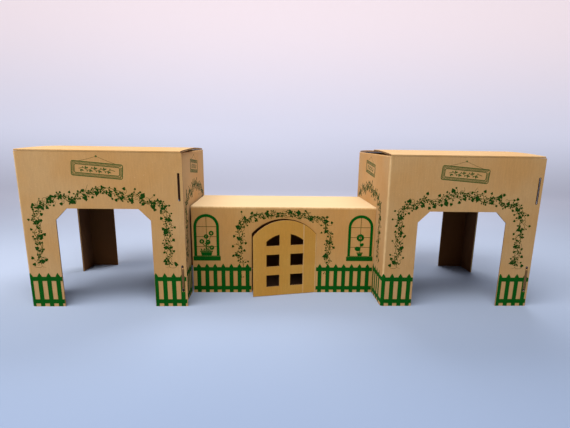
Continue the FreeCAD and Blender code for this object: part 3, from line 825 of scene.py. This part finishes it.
def fence(sheet, start, end, centres, drop=0.0, slot=None):
    """Pickets at the given centres, and the pieces of two rails between them."""
    half = PICKET / 2.0
    gaps = []
    cursor = start
    for centre in centres:
        picket(sheet, start, end, centre, drop, slot)
        gaps.append((cursor, max(centre - half, start)))
        cursor = min(centre + half, end)
    gaps.append((cursor, end))
    for left, right in gaps:
        parts = [(left, right)]
        if slot and left < slot[1] and right > slot[0]:
            parts = [(left, min(slot[0], right)), (max(slot[1], left), right)]
        for u0, u1 in parts:
            for low in (RAILS[0], RAILS[1] - drop):
                slab(sheet, u0 - 0.1, u1 + 0.1, low, low + RAIL_H, PLATE_RISE)


def sign(sheet, centre):
    """Hanging board with a roped frame, a cord, a nail and a plain sprig of leaves."""
    def at(points):
        return turned(points, centre, SIGN_LEVEL, SIGN_TILT)

    def frame_line(half_w, half_h, width, rise):
        cut = 2.6
        path = at([(-half_w + cut, -half_h), (half_w - cut, -half_h), (half_w, -half_h + cut),
                   (half_w, half_h - cut), (half_w - cut, half_h), (-half_w + cut, half_h),
                   (-half_w, half_h - cut), (-half_w, -half_h + cut)])
        for number, start in enumerate(path):
            end = path[(number + 1) % len(path)]
            sheet.ribbon([start, end], width, SOLID_INK, rise + 0.002 * (number % 2))

    frame_line(62.0, 17.6, 2.1, 0.11)
    frame_line(54.8, 10.4, 1.8, 0.105)

    # Slanting strokes between the two lines, like a rope's strands
    half_w, half_h, strand = 58.7, 14.3, 2.9
    run = -half_w
    while run < half_w:
        for level in (-half_h, half_h):
            sheet.ribbon(at([(run - 1.3, level - 2.8), (run + 1.3, level + 2.8)]), 1.5, SOLID_INK, 0.07)
        run += strand
    run = -half_h + 3.4
    while run < half_h - 2.0:
        for level in (-half_w, half_w):
            sheet.ribbon(at([(level - 2.8, run - 1.3), (level + 2.8, run + 1.3)]), 1.5, SOLID_INK, 0.07)
        run += strand

    vine = smooth_path([(-44.0, 0.0), (-33.0, 2.6), (-22.0, -2.6), (-11.0, 2.6), (0.0, -2.6), (11.0, 2.6),
                        (22.0, -2.6), (33.0, 2.6), (44.0, 0.0)], 2.0)
    sheet.ribbon(at(vine), 1.4, SOLID_INK, 0.075)
    for number, u in enumerate(range(-38, 39, 11)):
        side = 1.0 if number % 2 else -1.0
        for lean, length in ((0.35, 9.0), (1.25, 7.0)):
            leaf = turned(OAR_LEAF, u - 2.0, side * 1.6, side * lean, length)
            sheet.plate(at(leaf), SOLID_INK, 0.09)
        sheet.disc(*at([(u + 3.5, -side * 4.6)])[0], 1.5, SOLID_INK, 0.095, 8)

    nail = (centre, NAIL_LEVEL)
    for side in (-1.0, 1.0):
        knot = at([(side * 46.0, 17.8)])[0]
        slack = ((knot[0] + nail[0]) / 2.0, (knot[1] + nail[1]) / 2.0 - 0.8)
        sheet.ribbon(smooth_path([knot, slack, nail], 4.0), 0.75, LINE_INK, 0.06)
        sheet.disc(*knot, 1.0, SOLID_INK, 0.1, 8)
    sheet.disc(*nail, 2.5, sides=12)


def arched_band(sheet, centre, half, inner, base, spring):
    """Window frame: two jambs and a half-round head."""
    steps = 26
    outer_line = [(centre + half, base)]
    inner_line = [(centre + inner, base)]
    for number in range(steps + 1):
        angle = math.pi * number / steps
        outer_line.append((centre + half * math.cos(angle), spring + half * math.sin(angle)))
        inner_line.append((centre + inner * math.cos(angle), spring + inner * math.sin(angle)))
    outer_line.append((centre - half, base))
    inner_line.append((centre - inner, base))
    for number in range(len(outer_line) - 1):
        sheet.plate([outer_line[number], outer_line[number + 1], inner_line[number + 1], inner_line[number]])


def flower(sheet, u, v, radius, petals=8):
    """Open flower: a ring of petals round a bare heart with a dot in it."""
    for number in range(petals):
        angle = 2.0 * math.pi * number / petals
        sheet.plate(turned(PETAL, u, v, angle, radius), SOLID_INK, 0.1 + 0.012 * (number % 2))
    sheet.disc(u, v, radius * 0.16, LINE_INK, 0.09, 8)


def trough(sheet, centre, base):
    """Wide pot with five flowers and some leaves in it."""
    sheet.plate([(centre - 15.0, base + 0.8), (centre + 13.0, base + 0.8), (centre + 15.5, base + 11.0),
                 (centre - 17.5, base + 11.0)], SOLID_INK, 0.125)
    sheet.bar(centre - 19.0, centre + 17.0, base + 11.6, base + 15.2, 0.13)
    blooms = ((13.5, 66.0, 6.8), (-1.0, 56.5, 6.4), (-13.5, 42.0, 6.6), (4.0, 40.0, 6.6), (14.5, 24.0, 6.4))
    for number, (u, v, radius) in enumerate(blooms):
        root = -6.0 + 3.4 * number
        stalk = smooth_path([(centre + root, base + 14.0),
                             (centre + (root + u) / 2.0 + 1.5, base + 8.0 + v / 2.0),
                             (centre + u, base + v - radius * 0.6)], 3.0)
        sheet.ribbon(stalk, 1.3, SOLID_INK, 0.075)
        flower(sheet, centre + u, base + v, radius)
        spot = stalk[len(stalk) // 2]
        for side in (-1.0, 1.0):
            sheet.plate(turned(OAR_LEAF, *spot, math.pi / 2.0 + side * 0.9, 7.0), SOLID_INK, 0.085)
    for u, side in ((-13.0, 0.5), (-9.0, -0.3), (7.0, 0.3), (1.0, 0.0)):
        leaf = turned(OAR_LEAF, centre + u, base + 14.5, math.pi / 2.0 + side, 8.5)
        sheet.plate(leaf, SOLID_INK, 0.09)


def pot(sheet, centre, base):
    """Small pot with one large flower and two leaves on its stalk."""
    sheet.plate([(centre - 5.5, base + 0.8), (centre + 5.5, base + 0.8), (centre + 7.6, base + 8.0),
                 (centre - 7.6, base + 8.0)], SOLID_INK, 0.125)
    sheet.bar(centre - 9.2, centre + 9.2, base + 8.5, base + 11.4, 0.13)
    stalk = smooth_path([(centre, base + 11.0), (centre + 1.2, base + 28.0), (centre, base + 46.0)], 3.0)
    sheet.ribbon(stalk, 1.6, SOLID_INK, 0.075)
    flower(sheet, centre, base + 55.0, 10.4, 9)
    for u, v, lean, length in ((0.8, 19.0, 158.0, 18.0), (1.0, 31.0, 35.0, 12.0)):
        leaf = turned(BUD_LEAF, centre + u, base + v, math.radians(lean), length)
        sheet.plate(leaf, SOLID_INK, 0.1)


def window(sheet, centre, plant):
    """Arched window with thin bars, a sill and a plant on it."""
    half, inner = 36.0, 27.8
    base, spring = 111.0, 196.0
    arched_band(sheet, centre, half, inner, base, spring)
    sheet.ribbon([(centre, base + 14.0), (centre, spring + inner)], 1.5, LINE_INK, 0.06)
    for row in range(3):
        level = spring - 29.0 * row
        sheet.ribbon([(centre - inner, level), (centre + inner, level)], 1.5, LINE_INK, 0.065)
    sheet.bar(centre - 39.0, centre + 39.0, base - 14.5, base - 1.4)
    sheet.bar(centre - 37.0, centre + 37.0, base - 0.9, base + 0.6)
    plant(sheet, centre, base)


def tower_prints(name, x):
    """Fence, ivy and signs of one tower, on its front and on both of its sides."""
    walls = (("front", bent_front(x)), ("right", right_wall(x)), ("left", left_wall(x)))
    fences, vines, signs = Print(), Print(), Print()
    seed = 51 if x > 0 else 11
    for number, (wall, place) in enumerate(walls):
        for sheet in (fences, vines, signs):
            sheet.place = place
        near, far = ([first + PITCH * step for step in range(4)] for first in (35.3, 325.0))
        left, right = SIDE_IVY
        middle = SIDE_SIGN
        if wall == "front":
            fence(fences, -2.6, 84.0, [3.8 + PITCH * step for step in range(4)])
            fence(fences, 322.0, 404.6, [325.5 + PITCH * step for step in range(4)], slot=TOWER_SLOT)
            left, right = FRONT_IVY
            middle = FRONT_SIGN
            vines.clear = arched_wall(FRONT_LEG, TOWER_MM - FRONT_LEG, FRONT_ARCH_H, (5.5, 391.0))
        elif wall == "right":
            fence(fences, 6.0, 115.5, near)
            fence(fences, 321.5, 400.8, far)
            vines.clear = arched_wall(SIDE_FRONT_LEG, TOWER_MM - SIDE_REAR_LEG, SIDE_ARCH_H, (6.0, 400.0))
        else:
            fence(fences, 5.2, 84.5, [TOWER_MM - u for u in reversed(far)])
            fence(fences, 290.5, 400.6, [TOWER_MM - u for u in reversed(near)])
            left, right, middle = TOWER_MM - right, TOWER_MM - left, TOWER_MM - middle
            vines.clear = arched_wall(SIDE_REAR_LEG, TOWER_MM - SIDE_FRONT_LEG, SIDE_ARCH_H, (6.0, 400.0))
        garland(vines, arch_knots(left, right), seed + 3 * number)
        end_sprig(vines, left, IVY_FOOT, -1.0)
        end_sprig(vines, right, IVY_FOOT, 1.0)
        sign(signs, middle)
    fences.finish(name + "_fence_artwork", "fence_ink", [name + "_fence_print"])
    vines.finish(name + "_ivy_artwork", "ivy_ink", [name + "_ivy_print"])
    signs.finish(name + "_sign_artwork", "sign_ink", [name + "_sign_print"])


def hall_prints():
    """Fence, ivy and windows on the hall's front."""
    length = HALL_L / MM
    fences, vines, windows = Print(), Print(), Print()
    for sheet in (fences, vines, windows):
        sheet.place = front_wall(HALL_X, HALL_Y)
    fence(fences, 1.5, DOOR_LEFT - 1.5, HALL_PICKETS[:7], HALL_FENCE_DROP)
    fence(fences, DOOR_RIGHT + 1.5, length - 1.5, HALL_PICKETS[7:], HALL_FENCE_DROP)
    vines.clear = doorway_wall
    garland(vines, HALL_IVY, 91, 16.5, 0.92, 2)
    window(windows, WINDOW_END, trough)
    window(windows, length - WINDOW_END, pot)
    fences.finish("hall_fence_artwork", "fence_ink", ["hall_fence_print"])
    vines.finish("hall_ivy_artwork", "ivy_ink", ["hall_ivy_print"])
    windows.finish("hall_window_artwork", "fence_ink", ["hall_window_print"])


tower_prints("left_tower", LEFT_X)
tower_prints("right_tower", RIGHT_X)
hall_prints()


# Board materials on the CAD sheets

def dress(node, material):
    """Gives a CAD node its material, with its mesh left as it is."""
    for slot in bpy.data.objects[node].material_slots:
        slot.material = material


# Painted highlight on upward faces: slight on the tower walls, more on the flaps, strongest on the hall's top
for name, x in (("left_tower", LEFT_X), ("right_tower", RIGHT_X)):
    dress(name + "_walls", board(name + "_kraft", tower_layout(x), painted_slot_shade=slot_shade(x)))
    flaps = (("_front_flap", flap_layout(FRONT_Y, 1.0, FRONT_FLAP_RISE[name])),
             ("_back_flap", flap_layout(FRONT_Y + TOWER, -1.0, BACK_FLAP_RISE)))
    for flap, layout in flaps:
        dress(name + flap, board(name + flap + "_kraft", layout, fade_and_top_sheen=0.14, liner_shade=OPENED_LINER_SHADE))
dress("hall_walls", board("hall_kraft", hall_layout, HALL_KRAFT, 0.5))
dress("door", board("door_kraft", door_layout, DOOR_KRAFT, liner_shade=OPENED_LINER_SHADE))


# Stage

def backdrop():
    """Seamless sweep: a floor that bends up into a wall far behind the castle.

    Its far part glows to the camera and in reflections only, so that no light from it falls on the
    castle. The floor under the hall has a painted shadow, as dark as a box's inside.
    """
    tree = Tree("studio_paper")
    x, y, z = tree.split(tree.point)
    horizon = linear(176, 178, 196)
    cloud = tree.noise(tree.point, 1.6, 2.0, 0.5)
    depth = tree.plus(y, tree.times(cloud, 0.2))
    floor = tree.mix(tree.step(depth, -0.9, 0.5), linear(136, 153, 184), linear(170, 182, 206))
    floor = tree.mix(tree.step(depth, 0.3, 2.6), floor, horizon)
    # Painted shadow on the floor under the hall, fading out round the hall's footprint
    from_middle_x = tree.absolute(tree.minus(x, HALL_X + HALL_L / 2.0))
    from_middle_y = tree.absolute(tree.minus(y, HALL_Y + HALL_D / 2.0))
    painted_hall_shadow = tree.times(tree.step(from_middle_x, 0.24, 0.262, 1.0, 0.0),
                            tree.step(from_middle_y, 0.10, 0.128, 1.0, 0.0))
    floor = tree.mix(painted_hall_shadow, floor, linear(66, 46, 34))
    high = tree.step(z, 0.2, 2.0)
    wall = tree.mix(high, horizon, linear(208, 194, 201))
    glow_colour = tree.mix(high, linear(204, 207, 226), linear(238, 224, 229))
    far = tree.plus(z, tree.step(depth, -0.9, 2.6))
    glow = tree.times(seen(tree.tree), tree.step(far, 0.45, 1.6, 0.0, 0.78))
    tree.put(tree.shader.inputs["Base Color"], tree.mix(tree.step(z, 0.0, 0.2), floor, wall))
    tree.put(tree.shader.inputs["Emission Color"], glow_colour)
    tree.put(tree.shader.inputs["Emission Strength"], glow)
    tree.shader.inputs["Roughness"].default_value = 0.9
    tree.shader.inputs["Specular IOR Level"].default_value = 0.1

    near, bend_start, bend_radius, wall_top, half_w, bend_steps = -3.2, 2.4, 1.6, 6.0, 6.0, 12
    profile = [(near, 0.0), (bend_start, 0.0)]
    for number in range(1, bend_steps + 1):
        angle = math.pi / 2.0 * number / bend_steps
        profile.append((bend_start + bend_radius * math.sin(angle), bend_radius * (1.0 - math.cos(angle))))
    profile.append((bend_start + bend_radius, wall_top))
    points = [(side, y, z) for side in (-half_w, half_w) for y, z in profile]
    count = len(profile)
    faces = [[n, n + count, n + count + 1, n + 1] for n in range(count - 1)]
    mesh = bpy.data.meshes.new("studio_sweep")
    mesh.from_pydata(points, [], faces)
    mesh.materials.append(tree.material)
    for polygon in mesh.polygons:
        polygon.use_smooth = True
    sweep = bpy.data.objects.new("studio_sweep", mesh)
    bpy.context.scene.collection.objects.link(sweep)


def area_light(name, place, target, size, power, colour):
    """Rectangular lamp turned towards a target."""
    lamp = bpy.data.lights.new(name, "AREA")
    lamp.shape = "RECTANGLE"
    lamp.size, lamp.size_y = size
    lamp.energy = power
    lamp.color = colour
    light = bpy.data.objects.new(name, lamp)
    light.location = place
    light.rotation_euler = (Vector(target) - Vector(place)).to_track_quat("-Z", "Y").to_euler()
    bpy.context.scene.collection.objects.link(light)


backdrop()
area_light("key_softbox", (-0.58, -1.2, 2.45), (-0.05, 0.0, 0.1), (2.6, 1.3), 84.0, (1.0, 0.97, 0.92))
area_light("back_softbox", (0.55, 1.5, 2.1), (0.1, 0.0, 0.25), (1.8, 0.9), 42.0, (1.0, 0.98, 0.95))
area_light("left_fill", (-2.1, -0.5, 1.1), (0.3, 0.0, 0.25), (0.9, 0.9), 15.0, (1.0, 0.95, 0.88))

# Dim air lights the castle, and a pale one stands behind it where the camera sees past the sweep
world = bpy.data.worlds.new("studio_air")
world.use_nodes = True
air = world.node_tree.nodes["Background"]
air.inputs["Color"].default_value = (0.92, 0.94, 1.0, 1.0)
air.inputs["Strength"].default_value = 0.22
beyond = world.node_tree.nodes.new("ShaderNodeBackground")
beyond.inputs["Color"].default_value = linear(214, 212, 228)
choice = world.node_tree.nodes.new("ShaderNodeMixShader")
sources = (seen(world.node_tree), air.outputs[0], beyond.outputs[0])
for socket, source in zip(choice.inputs, sources):
    world.node_tree.links.new(source, socket)
surface = world.node_tree.nodes["World Output"].inputs["Surface"]
world.node_tree.links.new(choice.outputs[0], surface)
bpy.context.scene.world = world
bpy.context.scene.view_settings.view_transform = "Standard"

# Camera at the photograph's viewing angle
EYE = (-0.03775, -1.32154, 0.43487)
YAW, DIP, ROLL = 0.04726, 0.24513, -0.01599
ahead_x, ahead_y = math.sin(YAW) * math.cos(DIP), math.cos(YAW) * math.cos(DIP)
forward = Vector((ahead_x, ahead_y, -math.sin(DIP)))
level_right = Vector((math.cos(YAW), -math.sin(YAW), 0.0))
level_down = forward.cross(level_right)
right = math.cos(ROLL) * level_right + math.sin(ROLL) * level_down
down = -math.sin(ROLL) * level_right + math.cos(ROLL) * level_down
turn = Matrix((right, -down, -forward)).transposed().to_4x4()
lens = bpy.data.cameras.new("camera")
lens.sensor_width = 36.0
lens.lens = 27.76
lens.shift_x = -0.01155
lens.shift_y = 0.06469
camera = bpy.data.objects.new("camera", lens)
camera.matrix_world = Matrix.Translation(EYE) @ turn
bpy.context.scene.collection.objects.link(camera)
bpy.context.scene.camera = camera
